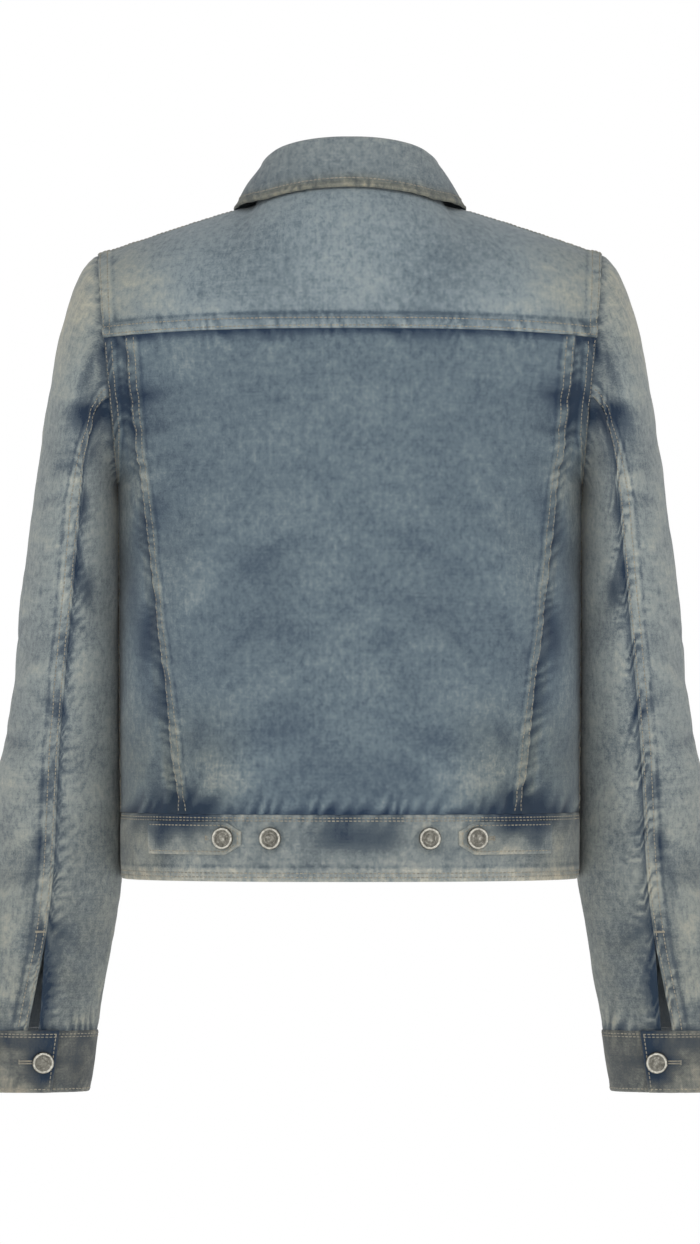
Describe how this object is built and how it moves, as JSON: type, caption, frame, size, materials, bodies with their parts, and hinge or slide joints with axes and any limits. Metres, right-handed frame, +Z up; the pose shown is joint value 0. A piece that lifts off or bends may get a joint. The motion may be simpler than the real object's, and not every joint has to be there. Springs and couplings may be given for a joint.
{
  "type": "denim jacket",
  "caption": "Short waisted denim jacket, filled out and hollow, with turned-down collar, back yoke, button front, cuffed sleeves and waistband with side tabs.",
  "frame": {"origin": "middle of the shoulder line, between the two points where neckline and shoulder seams meet, where the wearer's shoulders carry the jacket", "axes": "+Z up, +Y towards the wearer's front, so the back faces -Y, and +X towards the wearer's right sleeve"},
  "size_m": [0.599, 0.2553, 0.7344],
  "materials": {
    "denim_body": "washed indigo twill, faded and soft",
    "denim_yoke": "washed indigo twill, more faded on top",
    "denim_sleeve": "washed indigo twill with a warm cast",
    "denim_trim": "washed doubled twill with worn edges and stitching",
    "tack_metal": "aged nickel, satin"
  },
  "bodies": {
    "root": {"back_centre": "denim_body", "back_side_right": "denim_body", "back_side_left": "denim_body", "back_yoke": "denim_yoke", "front_right": "denim_body", "front_left": "denim_body", "placket_under": "denim_trim", "placket_over": "denim_trim", "waistband_back": "denim_trim", "waistband_front_left": "denim_trim", "waistband_front_right": "denim_trim", "waist_tab_right": "denim_trim", "waist_tab_left": "denim_trim", "collar": "denim_trim", "sleeve_top_right": "denim_sleeve", "sleeve_under_right": "denim_sleeve", "sleeve_top_left": "denim_sleeve", "sleeve_under_left": "denim_sleeve", "cuff_right": "denim_trim", "cuff_left": "denim_trim", "button_cuff_right": "tack_metal", "button_cuff_left": "tack_metal", "button_front_1": "tack_metal", "button_front_2": "tack_metal", "button_front_3": "tack_metal", "button_front_4": "tack_metal", "button_front_5": "tack_metal", "button_front_6": "tack_metal", "button_tab_right": "tack_metal", "button_tab_left": "tack_metal", "button_band_right": "tack_metal", "button_band_left": "tack_metal"}
  },
  "joints": []
}
